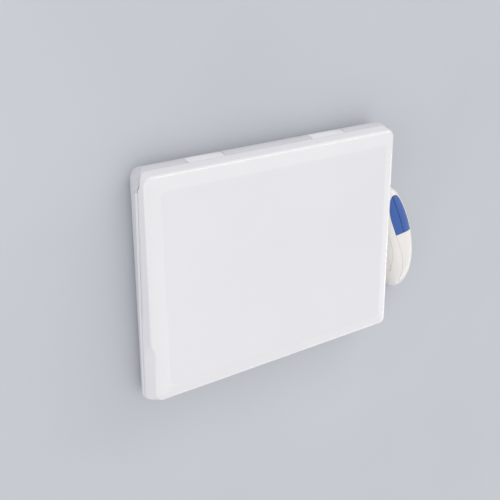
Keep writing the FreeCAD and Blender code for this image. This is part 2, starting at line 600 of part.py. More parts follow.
mbd = fuse([pad(1.5, 18.0, 22.0, 50.0, 2.0, 4.0, 5.4),
            box(-5.0, 33, 5.4, 1.0, 39, 6.6), box(5.0, 33, 5.4, 11.0, 39, 6.6)])
put("mouse_board", mouse_place(mbd))
lens = fuse([box(-4.8, 8.2, MOUSE_FOOT + 0.2, 4.8, 15.8, MOUSE_FOOT + 2.0),
             box(-6.0, 7.0, MOUSE_FOOT + 2.0, 6.0, 17.0, MOUSE_FOOT + 3.2)])
put("mouse_lens", mouse_place(lens))
ms = []
for (x, y), tip in zip(SCREWS_M, (12.4, 12.4)):
    ms.append(screw(x, y, MOUSE_FOOT + 0.3, 1.4, 2.4, tip, 1.05))
put("mouse_screws", mouse_place(group(ms)), True)
mf = []
for x, y, r in ((-11.0, -34.0, 4.0), (11.0, -34.0, 4.0), (-6.5, 38.0, 3.0), (6.5, 38.0, 3.0)):
    f = cyl(x, y, 0, MOUSE_FOOT, r)
    mf.append(f.makeFillet(0.3, [e for e in f.Edges if abs(e.BoundBox.ZMax) < 1e-6]))
put("mouse_feet", mouse_place(group(mf)), True)

# ---------------------------------------------------------------- write
os.makedirs("parts", exist_ok=True)
for n, s in OUT.items():
    s.exportStep("parts/" + n + ".step")
print("nodes", len(OUT))
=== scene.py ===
# Looks of a toy laptop computer with a mouse: finishes for every part, the mouse shells included, lid shell, keycaps,
# legends.
import bpy, bmesh, math
import numpy as np
from mathutils import Matrix, Vector
from mathutils.geometry import delaunay_2d_cdt


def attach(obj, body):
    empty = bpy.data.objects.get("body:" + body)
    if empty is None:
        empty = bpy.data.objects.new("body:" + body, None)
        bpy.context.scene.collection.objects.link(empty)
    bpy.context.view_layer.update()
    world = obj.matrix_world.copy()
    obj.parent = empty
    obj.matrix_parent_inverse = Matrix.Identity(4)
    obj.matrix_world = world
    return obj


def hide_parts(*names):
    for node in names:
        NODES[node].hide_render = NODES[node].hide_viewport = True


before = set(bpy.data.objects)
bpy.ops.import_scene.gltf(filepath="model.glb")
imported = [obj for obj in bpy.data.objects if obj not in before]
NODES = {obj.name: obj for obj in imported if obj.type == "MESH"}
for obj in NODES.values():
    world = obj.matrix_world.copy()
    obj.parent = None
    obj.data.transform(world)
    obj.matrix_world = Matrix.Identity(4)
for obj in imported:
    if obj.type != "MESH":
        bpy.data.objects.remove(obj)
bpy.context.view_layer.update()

# ------------------------------------------------------------------ frame of the laptop
SH = -25.4                     # laptop's middle in the row frame, mm
SEAM_Z, SEAM_DEG = 16.9, 1.95
CA, SA = math.cos(math.radians(SEAM_DEG)), math.sin(math.radians(SEAM_DEG))
HX, FRONT_Y, REAR_Y, REAR_LOW_Y = 132.5, -103.15, 99.0, 101.6
HINGE_Y, HINGE_Z, HINGE_R, HINGE_CLEAR = 94.0, 14.0, 9.15, 9.65
KNUCKLES = [(-85.5, -50.0), (43.0, 80.5)]


def L(x, y, z):
    """Laptop millimetres to row metres."""
    return ((x + SH) / 1000.0, y / 1000.0, z / 1000.0)


def D(x, v, w):
    """Deck millimetres (v along the slope, w off the deck) to row metres."""
    return L(x, v * CA - w * SA, v * SA + w * CA + SEAM_Z)


def seam(y):
    return SEAM_Z + math.tan(math.radians(SEAM_DEG)) * y


# ------------------------------------------------------------------ materials
def srgb(c):
    return tuple(((v / 255.0) / 12.92 if v / 255.0 <= 0.04045 else ((v / 255.0 + 0.055) / 1.055) ** 2.4) for v in c)


def new_mat(name):
    m = bpy.data.materials.new(name)
    m.use_nodes = True
    nt = m.node_tree
    b = nt.nodes["Principled BSDF"]
    return m, nt, b


def noise(nt, coord, scale, detail=3.0, rough=0.5):
    n = nt.nodes.new("ShaderNodeTexNoise")
    n.inputs["Scale"].default_value = scale
    n.inputs["Detail"].default_value = detail
    n.inputs["Roughness"].default_value = rough
    nt.links.new(coord, n.inputs["Vector"])
    return n.outputs["Fac"]


def obj_coord(nt):
    return nt.nodes.new("ShaderNodeTexCoord").outputs["Object"]


def ramp_mix(nt, fac, a, b, lo=0.3, hi=0.7):
    r = nt.nodes.new("ShaderNodeValToRGB")
    r.color_ramp.elements[0].position = lo
    r.color_ramp.elements[0].color = (*a, 1)
    r.color_ramp.elements[1].position = hi
    r.color_ramp.elements[1].color = (*b, 1)
    nt.links.new(fac, r.inputs["Fac"])
    return r.outputs["Color"]


def map_range(nt, fac, lo, hi, a=0.3, b=0.7):
    r = nt.nodes.new("ShaderNodeMapRange")
    r.inputs["From Min"].default_value = a
    r.inputs["From Max"].default_value = b
    r.inputs["To Min"].default_value = lo
    r.inputs["To Max"].default_value = hi
    nt.links.new(fac, r.inputs["Value"])
    return r.outputs["Result"]


def add_bump(nt, b, heights, strength=0.3):
    """heights: list of (socket, distance in metres)."""
    normal = None
    for h, dist in heights:
        n = nt.nodes.new("ShaderNodeBump")
        n.inputs["Strength"].default_value = strength
        n.inputs["Distance"].default_value = dist
        nt.links.new(h, n.inputs["Height"])
        if normal is not None:
            nt.links.new(normal, n.inputs["Normal"])
        normal = n.outputs["Normal"]
    nt.links.new(normal, b.inputs["Normal"])


def plastic(name, col, rough=0.3, vary=0.03, grain=2200.0, grain_h=0.00002, blotch=28.0,
            coat=0.0, coat_rough=0.1, rough_vary=0.05, wave=0.0, spec=0.5, tint=(1.0, 1.0, 1.0)):
    """Moulded plastic: slow colour drift, fine mould grain, uneven gloss, faint sink waviness."""
    m, nt, b = new_mat(name)
    co = obj_coord(nt)
    c = srgb(col)
    big = noise(nt, co, blotch, 3.0)
    lo = tuple(v * (1 - vary) for v in c)
    hi = tuple(min(v * (1 + vary) * t, 1.0) for v, t in zip(c, tint))
    nt.links.new(ramp_mix(nt, big, lo, hi), b.inputs["Base Color"])
    fine = noise(nt, co, grain, 2.0, 0.6)
    mid = noise(nt, co, 160.0, 4.0, 0.6)
    nt.links.new(map_range(nt, mid, max(rough - rough_vary, 0.02), rough + rough_vary), b.inputs["Roughness"])
    hs = [(fine, grain_h)]
    if wave > 0:
        hs.append((noise(nt, co, 22.0, 1.0), wave))
    add_bump(nt, b, hs)
    b.inputs["Specular IOR Level"].default_value = spec
    if coat > 0:
        b.inputs["Coat Weight"].default_value = coat
        b.inputs["Coat Roughness"].default_value = coat_rough
    return m


def metal(name, col, rough=0.3):
    m, nt, b = new_mat(name)
    co = obj_coord(nt)
    c = srgb(col)
    n1 = noise(nt, co, 420.0, 4.0, 0.6)
    nt.links.new(ramp_mix(nt, n1, tuple(v * 0.82 for v in c), c), b.inputs["Base Color"])
    nt.links.new(map_range(nt, noise(nt, co, 900.0, 3.0), rough - 0.08, rough + 0.12), b.inputs["Roughness"])
    b.inputs["Metallic"].default_value = 1.0
    add_bump(nt, b, [(noise(nt, co, 2600.0, 2.0), 0.00002)])
    return m


MAT = {}
MAT["lid"] = plastic("lid_pearl", (238, 236, 238), rough=0.34, vary=0.01, grain=3200, grain_h=0.000002, blotch=14,
                     coat=0.6, coat_rough=0.08, rough_vary=0.03, wave=0.00001)
# copy of the lid plastic a few levels darker for the flat middle: painted shade, also rougher and with a weaker coat
MAT["lid_flat"] = plastic("lid_pearl_flat_painted_shade", (234, 233, 236), rough=0.38, vary=0.01, grain=3200, grain_h=0.000003, blotch=14,
                          coat=0.15, coat_rough=0.24, rough_vary=0.03, wave=0.00001)
MAT["base"] = plastic("base_grey", (212, 211, 215), rough=0.38, vary=0.02, grain=2400, grain_h=0.00002, coat=0.1)
MAT["deck"] = plastic("deck_white", (236, 236, 238), rough=0.36, vary=0.012, grain=2600, grain_h=0.00002, coat=0.1)
MAT["panel"] = plastic("panel_white", (232, 232, 235), rough=0.45, vary=0.015, grain=1900, grain_h=0.00003)
MAT["bezel"] = plastic("bezel_white", (240, 240, 241), rough=0.3, vary=0.008, grain=3200, grain_h=0.000003, blotch=14, coat=0.2, rough_vary=0.03)
MAT["key"] = plastic("key_white", (232, 232, 234), rough=0.42, vary=0.015, grain=2800, grain_h=0.00002)
MAT["key_blue"] = plastic("key_blue", (74, 110, 182), rough=0.42, vary=0.03, grain=2800, grain_h=0.00002)
MAT["key_grey"] = plastic("key_grey", (190, 193, 200), rough=0.42, vary=0.02, grain=2800, grain_h=0.00002)
MAT["ink"] = plastic("ink_grey", (92, 98, 118), rough=0.55, vary=0.04, grain=3000, grain_h=0.000005)
MAT["ink_white"] = plastic("ink_white", (240, 242, 246), rough=0.5, vary=0.02, grain=3000, grain_h=0.000005)
MAT["ink_pale"] = plastic("ink_pale_blue", (150, 182, 226), rough=0.5, vary=0.03, grain=3000, grain_h=0.000005)
MAT["film_blue"] = plastic("film_blue", (52, 88, 168), rough=0.35, vary=0.04, grain=2600, grain_h=0.00001, coat=0.2)
MAT["rubber"] = plastic("rubber_grey", (78, 78, 82), rough=0.78, vary=0.07, grain=1500, grain_h=0.00005, spec=0.3)
MAT["mat"] = plastic("silicone", (214, 214, 208), rough=0.6, vary=0.03, grain=1200, grain_h=0.00003)
MAT["chip"] = plastic("chip_black", (28, 28, 30), rough=0.55, vary=0.15, grain=2500, grain_h=0.00003)
MAT["speaker"] = plastic("speaker_black", (36, 36, 40), rough=0.6, vary=0.12, grain=1500, grain_h=0.00006)
MAT["socket"] = plastic("socket_black", (34, 34, 36), rough=0.45, vary=0.1, grain=2200, grain_h=0.00003)
MAT["steel"] = metal("steel_plated", (186, 186, 190), 0.32)
MAT["mouse"] = plastic("mouse_white", (241, 237, 233), rough=0.32, vary=0.008, grain=3200, grain_h=0.0000015, blotch=12,
                       coat=0.3, coat_rough=0.14, rough_vary=0.03)
MAT["mouse_blue"] = plastic("mouse_blue", (53, 94, 171), rough=0.33, vary=0.035, grain=2600, grain_h=0.000015, coat=0.2, coat_rough=0.12)
MAT["knob"] = plastic("knob_blue", (62, 98, 178), rough=0.35, vary=0.03, grain=2600, grain_h=0.00002)
MAT["cell"] = plastic("cell_sleeve", (52, 54, 60), rough=0.3, vary=0.08, grain=1800, grain_h=0.00001, coat=0.3)
MAT["groove"] = plastic("groove_grey", (150, 148, 148), rough=0.5, vary=0.04, grain=2200, grain_h=0.00001)


def board_mat():
    m, nt, b = new_mat("board_green")
    co = obj_coord(nt)
    n = noise(nt, co, 60.0, 4.0)
    base = ramp_mix(nt, n, srgb((20, 84, 48)), srgb((30, 104, 60)))
    br = nt.nodes.new("ShaderNodeTexBrick")
    br.inputs["Scale"].default_value = 90.0
    br.inputs["Color1"].default_value = (0, 0, 0, 1)
    br.inputs["Color2"].default_value = (0.15, 0.15, 0.15, 1)
    br.inputs["Mortar"].default_value = (1, 1, 1, 1)
    br.inputs["Mortar Size"].default_value = 0.02
    nt.links.new(co, br.inputs["Vector"])
    mix = nt.nodes.new("ShaderNodeMix")
    mix.data_type = "RGBA"
    nt.links.new(br.outputs["Color"], mix.inputs[0])
    nt.links.new(base, mix.inputs[6])
    mix.inputs[7].default_value = (*srgb((58, 140, 84)), 1)
    nt.links.new(mix.outputs[2], b.inputs["Base Color"])
    nt.links.new(map_range(nt, noise(nt, co, 300.0), 0.3, 0.45), b.inputs["Roughness"])
    add_bump(nt, b, [(br.outputs["Fac"], 0.00003)])
    return m


MAT["board"] = board_mat()


def lcd_mat():
    """Unlit reflective display: grey-green with a faint dot grid."""
    m, nt, b = new_mat("lcd_grey")
    co = obj_coord(nt)
    n = noise(nt, co, 18.0, 2.0)
    base = ramp_mix(nt, n, srgb((190, 194, 172)), srgb((196, 200, 178)))
    br = nt.nodes.new("ShaderNodeTexBrick")
    br.offset = 0.0
    br.inputs["Scale"].default_value = 1.0
    br.inputs["Brick Width"].default_value = 0.0012
    br.inputs["Row Height"].default_value = 0.0012
    br.inputs["Mortar Size"].default_value = 0.00012
    br.inputs["Color1"].default_value = (0.86, 0.86, 0.86, 1)
    br.inputs["Color2"].default_value = (0.90, 0.90, 0.90, 1)
    br.inputs["Mortar"].default_value = (1, 1, 1, 1)
    nt.links.new(co, br.inputs["Vector"])
    mul = nt.nodes.new("ShaderNodeMix")
    mul.data_type = "RGBA"
    mul.blend_type = "MULTIPLY"
    mul.inputs[0].default_value = 1.0
    nt.links.new(base, mul.inputs[6])
    nt.links.new(br.outputs["Color"], mul.inputs[7])
    nt.links.new(mul.outputs[2], b.inputs["Base Color"])
    nt.links.new(map_range(nt, noise(nt, co, 90.0), 0.26, 0.3), b.inputs["Roughness"])
    return m


MAT["lcd"] = lcd_mat()


def clear_mat(name, tint, rough):
    m, nt, b = new_mat(name)
    co = obj_coord(nt)
    b.inputs["Base Color"].default_value = (*srgb(tint), 1)
    nt.links.new(map_range(nt, noise(nt, co, 40.0), rough, rough + 0.03), b.inputs["Roughness"])
    b.inputs["Transmission Weight"].default_value = 1.0
    b.inputs["IOR"].default_value = 1.45
    return m


MAT["clear"] = clear_mat("window_clear", (244, 247, 245), 0.02)
MAT["lens"] = clear_mat("lens_red", (190, 60, 60), 0.05)


def panel_art_mat():
    """Printed blue sheet: soft light-to-dark drift over the panel with a fine print screen."""
    m, nt, b = new_mat("panel_blue")
    co = obj_coord(nt)
    sep = nt.nodes.new("ShaderNodeSeparateXYZ")
    nt.links.new(co, sep.inputs[0])
    g = map_range(nt, sep.outputs["Y"], 0.0, 1.0, -0.085, 0.075)
    n = noise(nt, co, 16.0, 2.0)
    add = nt.nodes.new("ShaderNodeMath")
    add.operation = "MULTIPLY_ADD"
    nt.links.new(n, add.inputs[0])
    add.inputs[1].default_value = 0.35
    nt.links.new(g, add.inputs[2])
    col = ramp_mix(nt, add.outputs[0], srgb((40, 82, 170)), srgb((88, 140, 214)), 0.15, 1.1)
    nt.links.new(col, b.inputs["Base Color"])
    nt.links.new(map_range(nt, noise(nt, co, 500.0), 0.32, 0.42), b.inputs["Roughness"])
    add_bump(nt, b, [(noise(nt, co, 2600.0, 2.0), 0.00001)])
    return m


MAT["art"] = panel_art_mat()


def floor_mat():
    m, nt, b = new_mat("floor_pale")
    co = obj_coord(nt)
    nt.links.new(ramp_mix(nt, noise(nt, co, 3.0, 2.0), srgb((199, 202, 208)), srgb((205, 208, 213))), b.inputs["Base Color"])
    nt.links.new(map_range(nt, noise(nt, co, 30.0), 0.55, 0.65), b.inputs["Roughness"])
    b.inputs["Specular IOR Level"].default_value = 0.2
    return m


# ------------------------------------------------------------------ finishes of the carried-over nodes
NODE_MAT = {
    "base_bottom_shell": "base", "base_top_deck": "deck", "key_dome_mat": "mat", "main_board": "board",
    "board_components": "chip", "number_strip": "film_blue", "speaker_driver": "speaker",
    "battery_contacts": "steel", "battery_cells": "cell", "rubber_feet": "rubber", "base_screws": "steel",
    "mouse_socket": "socket", "hinge_pins": "steel", "lid_outer_shell": "lid", "lid_inner_frame": "panel",
    "lid_art_panel": "art", "lcd_bezel": "bezel", "lcd_window": "clear", "lcd_module": "lcd",
    "lcd_board": "board", "lid_screws": "steel", "mouse_bottom_shell": "mouse", "mouse_palm_cover": "mouse",
    "mouse_left_button": "mouse_blue", "mouse_right_button": "mouse_blue", "mouse_board": "board",
    "mouse_lens": "lens", "mouse_feet": "rubber", "mouse_screws": "steel", "power_switch_knob": "knob",
    "battery_door": "base", "battery_door_screw": "steel",
}
for name, o in NODES.items():
    k = NODE_MAT.get(name, "key")
    o.data.materials.clear()
    o.data.materials.append(MAT[k])


# ------------------------------------------------------------------ mesh helpers
def make_obj(name, verts, faces, mat, body, sharp=35.0, mat_ids=None, mats=None):
    me = bpy.data.meshes.new(name)
    me.from_pydata([tuple(v) for v in verts], [], faces)
    me.update()
    bm = bmesh.new()
    bm.from_mesh(me)
    bmesh.ops.remove_doubles(bm, verts=bm.verts, dist=1e-7)
    bmesh.ops.recalc_face_normals(bm, faces=bm.faces)
    bm.to_mesh(me)
    bm.free()
    me.shade_smooth()
    me.set_sharp_from_angle(angle=math.radians(sharp))
    o = bpy.data.objects.new(name, me)
    bpy.context.scene.collection.objects.link(o)
    me.materials.append(mat)
    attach(o, body)
    return o


def rr_ring(cx, cy, w, d, r, nc=6, per_side=1):
    """Rounded rectangle outline, counter-clockwise, as (x, y) points."""
    hx, hy = w / 2.0, d / 2.0
    r = max(min(r, hx - 1e-4, hy - 1e-4), 1e-3)
    pts = []
    corners = [(hx - r, -hy + r, -90), (hx - r, hy - r, 0), (-hx + r, hy - r, 90), (-hx + r, -hy + r, 180)]
    for k, (ax, ay, a0) in enumerate(corners):
        for i in range(nc + 1):
            t = math.radians(a0 + 90.0 * i / nc)
            pts.append((cx + ax + r * math.cos(t), cy + ay + r * math.sin(t)))
        if per_side > 1:
            nx, ny, na = corners[(k + 1) % 4]
            t = math.radians(na)
            p0 = pts[-1]
            p1 = (cx + nx + r * math.cos(t), cy + ny + r * math.sin(t))
            for i in range(1, per_side):
                f = i / per_side
                pts.append((p0[0] + (p1[0] - p0[0]) * f, p0[1] + (p1[1] - p0[1]) * f))
    return pts


def loft(rings, close_start=True, close_end=True):
    """Rings of equal length, each a list of 3-D points; returns verts, faces."""
    verts, faces = [], []
    n = len(rings[0])
    for r in rings:
        verts += list(r)
    for k in range(len(rings) - 1):
        a, b = k * n, (k + 1) * n
        for i in range(n):
            j = (i + 1) % n
            faces.append((a + i, a + j, b + j, b + i))
    for flag, base in ((close_start, 0), (close_end, (len(rings) - 1) * n)):
        if flag:
            c = np.mean(np.array(verts[base:base + n]), 0)
            verts.append(tuple(c))
            ci = len(verts) - 1
            for i in range(n):
                faces.append((base + i, base + (i + 1) % n, ci))
    return verts, faces


def smooth01(t):
    t = min(max(t, 0.0), 1.0)
    return t * t * (3 - 2 * t)


# ------------------------------------------------------------------ lid shell
R_REAR, R_FRONT = 8.0, 5.0
SOFT_CORNER = 4.5
LEAN_Z, LEAN = 13.5, 4.8        # the front wall leans back above this height
LEAN_REAR_Z = 20.0              # the rear wall leans forward above this height
# (inset from the outline, height): rounded edge, sloped border, soft crease, flat
PROF_SIDE = [(0.0, 29.3), (0.1, 29.75), (0.4, 30.2), (0.9, 30.68), (1.6, 31.15), (2.3, 31.55), (3.1, 31.93), (5.0, 32.49),
             (7.5, 33.22), (9.5, 33.81), (11.6, 34.42), (12.8, 34.70), (13.8, 34.88), (15.0, 34.98), (16.5, 35.0)]
PROF_REAR = [(0.0, 28.9), (0.08, 29.4), (0.3, 29.8), (0.7, 30.24), (1.2, 30.75), (1.7, 31.24), (2.2, 31.62), (3.0, 31.93),
             (5.0, 32.49), (8.0, 33.37), (11.6, 34.42), (12.8, 34.70), (13.8, 34.88), (15.0, 34.98), (16.5, 35.0)]
# finger grip: deeper at its rear end, shallower at the front corner
PROF_GRIP = [(0.0, 17.6), (0.18, 18.6), (0.6, 20.4), (1.12, 22.7), (1.66, 25.0), (2.2, 27.4), (2.65, 29.4), (2.9, 30.5),
             (3.14, 31.2), (3.56, 31.74), (4.6, 32.3), (7.0, 33.05), (11.8, 34.46), (14.0, 34.9), (16.5, 35.0)]
PROF_GRIP_END = [(0.0, 17.6), (0.11, 18.6), (0.37, 20.4), (0.69, 22.7), (1.02, 25.0), (1.36, 27.4), (1.64, 29.4), (1.8, 30.3),
                 (2.02, 30.92), (2.45, 31.42), (3.7, 32.03), (6.6, 32.94), (11.8, 34.46), (14.0, 34.9), (16.5, 35.0)]


# wall and crown of the side as one line, and where each profile point lies along it: close together on the
# rounded edge, or spread over the wall where the wall tilts into the grip
SIDE_D = np.array([0.0] + [d for d, z in PROF_SIDE])
SIDE_Z = np.array([17.6] + [z for d, z in PROF_SIDE])
SIDE_S = np.concatenate([[0.0], np.cumsum(np.hypot(np.diff(SIDE_D), np.diff(SIDE_Z)))])
AT_EDGE = SIDE_S[1:]
AT_WALL = np.array([0.0, 1.0, 2.8, 5.1, 7.4, 9.8, 11.6] +
                   [float(np.interp(d, SIDE_D[1:], SIDE_S[1:])) for d in (0.22, 0.62, 1.25, 2.7, 6.0, 11.8, 14.0, 16.5)])


def rear(z):
    return REAR_LOW_Y + (REAR_Y - REAR_LOW_Y) * min(max((z - LEAN_REAR_Z) / 9.4, 0.0), 1.0)


def lean(z):
    return LEAN * min(max((z - LEAN_Z) / 15.9, 0.0), 1.0)


def outline_samples():
    """Walk the lid outline; each sample: (edge kind, position along it, corner angle)."""
    s = []
    for x in np.linspace(-HX + R_FRONT, HX - R_FRONT, 129)[:-1]:
        s.append(("front", float(x), 0))
    for t in np.linspace(-90, 0, 13)[:-1]:
        s.append(("fr", 0, float(t)))
    ys = list(np.linspace(FRONT_Y + R_FRONT, -66, 12)[:-1]) + list(np.linspace(-66, -32, 35)[:-1]) + \
        list(np.linspace(-32, 84.0, 40)[:-1]) + list(np.linspace(84.0, REAR_LOW_Y - R_REAR, 20)[:-1])
    for y in ys:
        s.append(("right", float(y), 0))
    for t in np.linspace(0, 90, 41)[:-1]:
        s.append(("rr", 0, float(t)))
    for x in np.linspace(HX - R_REAR, -HX + R_REAR, 61)[:-1]:
        s.append(("rear", float(x), 0))
    for t in np.linspace(90, 180, 41)[:-1]:
        s.append(("rl", 0, float(t)))
    for y in reversed(ys):
        s.append(("left", float(y), 0))
    for t in np.linspace(180, 270, 13)[:-1]:
        s.append(("fl", 0, float(t)))
    return s


SAMPLES = outline_samples()


def outline_point(smp, d, z):
    kind, u, t = smp
    rf, rr = max(R_FRONT - 0.4 * d, 3.2), max(R_REAR - d, 4.0)
    rl = rf + SOFT_CORNER * smooth01((z - 17.0) / 13.0)      # the corner by the finger grip is rounder at the top
    x1, y0, y1 = HX - d, FRONT_Y + lean(z) + d, rear(z) - d
    # positions along straight runs shrink a little as the outline moves in
    if kind == "front":
        k = (u + HX - R_FRONT) / (2 * (HX - R_FRONT))
        return (-x1 + rl + k * (2 * x1 - rl - rf), y0, z)
    if kind == "rear":
        k = (x1 - rr) / (HX - R_REAR)
        return (u * k, y1, z)
    if kind in ("right", "left"):
        a0, a1 = FRONT_Y + R_FRONT, REAR_LOW_Y - R_REAR
        b0, b1 = y0 + (rf if kind == "right" else rl), y1 - rr
        y = b0 + (u - a0) * (b1 - b0) / (a1 - a0)
        return (x1 if kind == "right" else -x1, y, z)
    a = math.radians(t)
    if kind == "fr":
        return (x1 - rf + rf * math.cos(a), y0 + rf + rf * math.sin(a), z)
    if kind == "fl":
        return (-x1 + rl + rl * math.cos(a), y0 + rl + rl * math.sin(a), z)
    if kind == "rr":
        return (x1 - rr + rr * math.cos(a), y1 - rr + rr * math.sin(a), z)
    return (-x1 + rr + rr * math.cos(a), y1 - rr + rr * math.sin(a), z)


def weights(smp):
    """How much of the rear bevel and of the finger grip at the left front a sample has."""
    kind, u, t = smp
    rear = 0.0
    grip = 0.0
    if kind == "rear":
        rear = 1.0
    elif kind == "rr":
        rear = smooth01((t - 15) / 60.0)
    elif kind == "rl":
        rear = smooth01((165 - t) / 60.0)
    if kind == "left":
        grip = smooth01((-50.4 - u) / 12.5)
    elif kind == "fl":
        grip = 1.0 - smooth01((t - 180) / 90.0)
    return rear, grip


def low_edge(y):
    """Lower edge of the lid: the seam in front, the arch over the hinge barrel behind."""
    q = HINGE_CLEAR ** 2 - (y - HINGE_Y) ** 2
    arch = HINGE_Z + math.sqrt(q) if q > 0 and y > 78.0 else 0.0
    return max(seam(y) + 0.3, arch)


def build_lid():
    wts = [weights(s) for s in SAMPLES]
    rings = []

    def ring(fn):
        rings.append([fn(i, s) for i, s in enumerate(SAMPLES)])

    def prof(i, k):
        r, g = wts[i]
        kind, u, _ = SAMPLES[i]
        b, c, e = PROF_REAR[k], PROF_GRIP[k], PROF_GRIP_END[k]
        h = smooth01((-52.0 - u) / 46.0) if kind == "left" else 1.0
        c = (c[0] + (e[0] - c[0]) * h, c[1] + (e[1] - c[1]) * h)
        q = {"left": smooth01((-14.0 - u) / 28.0), "fl": 1.0, "front": 1.0 - smooth01((u + HX - R_FRONT) / 30.0)}.get(kind, 0.0)
        at = AT_EDGE[k] + (AT_WALL[k] - AT_EDGE[k]) * q
        a = (float(np.interp(at, SIDE_S, SIDE_D)), float(np.interp(at, SIDE_S, SIDE_Z)))
        d = a[0] + (b[0] - a[0]) * r
        z = a[1] + (b[1] - a[1]) * r
        return d + (c[0] - d) * g, z + (c[1] - z) * g

    def thick(i):
        return 2.2 - 0.8 * wts[i][0]

    # ceiling inside, down the inner wall, round the rim, up the outer wall, over the crown
    for d, z in ((60.0, 32.6), (20.0, 32.6), (12.0, 31.8), (9.0, 30.6)):
        ring(lambda i, s, d=d, z=z: L(*outline_point(s, d, z)))
    ring(lambda i, s: L(*outline_point(s, thick(i) + 4.0 * wts[i][1] + 1.2, 28.4 - 1.4 * wts[i][1])))

    def wall(i, s, d, f):
        z1 = 27.2 - 8.6 * wts[i][1]
        x, y, _ = outline_point(s, d, z1)
        z0 = low_edge(y)
        z = z0 + (z1 - z0) * f
        return L(*outline_point(s, d, z))

    for f in (1.0, 0.5, 0.12):
        ring(lambda i, s, f=f: wall(i, s, thick(i), f))

    def rim(i, s, d, up):
        x, y, _ = outline_point(s, d, 16.0)
        z = low_edge(y) + up
        return L(*outline_point(s, d, z))

    ring(lambda i, s: rim(i, s, thick(i), 0.25))
    ring(lambda i, s: rim(i, s, thick(i) - 0.25, 0.0))
    ring(lambda i, s: rim(i, s, 0.45, 0.0))
    ring(lambda i, s: rim(i, s, 0.14, 0.13))
    ring(lambda i, s: rim(i, s, 0.0, 0.45))

    def outer(i, s, f):
        x, y, _ = outline_point(s, 0.0, 16.0)
        z0 = low_edge(y) + 0.45
        z1 = prof(i, 0)[1] - 0.35
        return L(*outline_point(s, 0.0, z0 + (z1 - z0) * f))

    for f in (0.3, 0.65, 1.0):
        ring(lambda i, s, f=f: outer(i, s, f))
    for k in range(len(PROF_SIDE)):
        ring(lambda i, s, k=k: L(*outline_point(s, *prof(i, k))))
    for d in (26.0, 40.0, 62.0, 84.0):
        ring(lambda i, s, d=d: L(*outline_point(s, d, 35.0)))
    v, f = loft(rings)
    # knuckles with their webs: round below, flat from the round up to the lid's rear wall
    rise = 27.5
    reach = math.hypot(REAR_Y - HINGE_Y, rise - HINGE_Z)
    touch = math.degrees(math.atan2(rise - HINGE_Z, REAR_Y - HINGE_Y) - math.acos(HINGE_R / reach))
    for k0, k1 in KNUCKLES:
        sec = []
        for a in np.linspace(135, 360 + touch, 61):
            t = math.radians(a)
            sec.append((HINGE_Y + HINGE_R * math.cos(t), HINGE_Z + HINGE_R * math.sin(t)))
        sec += [(REAR_Y + 0.02, rise), (98.0, 28.2), (96.5, 31.2), (87.6, 31.2), (87.6, 22.0)]
        xs = [(k0, 0.5), (k0 + 0.1, 0.22), (k0 + 0.45, 0.0), ((k0 + k1) / 2, 0.0), (k1 - 0.45, 0.0), (k1 - 0.1, 0.22), (k1, 0.5)]
        rings2 = []
        for x, ins in xs:
            rg = []
            for yy, zz in sec:
                dy, dz = yy - HINGE_Y, zz - HINGE_Z
                rad = math.hypot(dy, dz)
                k = (rad - ins) / rad
                rg.append(L(x, HINGE_Y + dy * k, HINGE_Z + dz * k))
            rings2.append(rg)
        v2, f2 = loft(rings2)
        off = len(v)
        v += v2
        f += [tuple(q + off for q in ff) for ff in f2]
    o = make_obj("lid_shell", v, f, MAT["lid"], "lid", sharp=50)
    # the flat middle takes a darker copy of the lid plastic, painted shade, rougher and with a weaker coat than the
    # border
    o.data.materials.append(MAT["lid_flat"])
    for poly in o.data.polygons:
        if min(o.data.vertices[q].co.z for q in poly.vertices) > 0.03469:
            poly.material_index = 1
    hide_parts("lid_outer_shell")
    return o


LID = build_lid()

# ------------------------------------------------------------------ keycaps and legends
KEY_W, KEY_D = 17.2, 14.0
KEYS = []
for row, x0, v in (("qwertyuiop", -94.5, 47.5), ("asdfghjkl", -89.25, 30.0), ("zxcvbnm", -78.75, 12.5)):
    for i, ch in enumerate(row):
        KEYS.append(("key_" + ch, x0 + 21.0 * i, v, KEY_W, KEY_D, ch.upper()))
KEYS.append(("key_enter", 103.0, 30.0, 24.0, KEY_D, None))
KEYS.append(("key_space", -5.0, -5.0, 100.0, KEY_D - 1.0, None))

KEY_PROF = [(-1.0, -3.4), (-1.0, -2.4), (0.0, -2.4), (0.0, 0.5), (0.1, 1.0), (0.36, 1.5), (0.75, 1.95), (1.2, 2.28),
            (1.7, 2.5), (2.2, 2.58), (2.9, 2.58), (3.9, 2.52), (5.2, 2.46)]


def build_key(name, x, v, w, d, mat):
    rings = []
    for ins, h in KEY_PROF:
        r = 2.0 if ins <= 0 else max(2.0 - 0.25 * ins, 1.2) + ins * 0.25
        rings.append([D(px, py, h) for px, py in rr_ring(x, v, w - 2 * ins, d - 2 * ins, r, 6)])
    vs, fs = loft(rings)
    o = make_obj(name + "_cap", vs, fs, mat, name, sharp=60)
    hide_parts(name)
    return o


def text_mesh(name, text, size, at, mat, body, lift, thick=0.05):
    """Flat lettering laid on the deck frame at (x, v), standing lift above the deck."""
    cu = bpy.data.curves.new(name, "FONT")
    cu.body = text
    cu.size = size
    cu.align_x = "CENTER"
    cu.align_y = "CENTER"
    cu.extrude = thick
    cu.resolution_u = 4
    tmp = bpy.data.objects.new(name + "_tmp", cu)
    bpy.context.scene.collection.objects.link(tmp)
    bpy.context.view_layer.update()
    me = bpy.data.meshes.new_from_object(tmp.evaluated_get(bpy.context.evaluated_depsgraph_get()))
    bpy.data.objects.remove(tmp)
    vs = [D(at[0] + q.co.x, at[1] + q.co.y, lift + q.co.z) for q in me.vertices]
    fs = [tuple(p.vertices) for p in me.polygons]
    bpy.data.meshes.remove(me)
    return make_obj(name, vs, fs, mat, body, sharp=30)


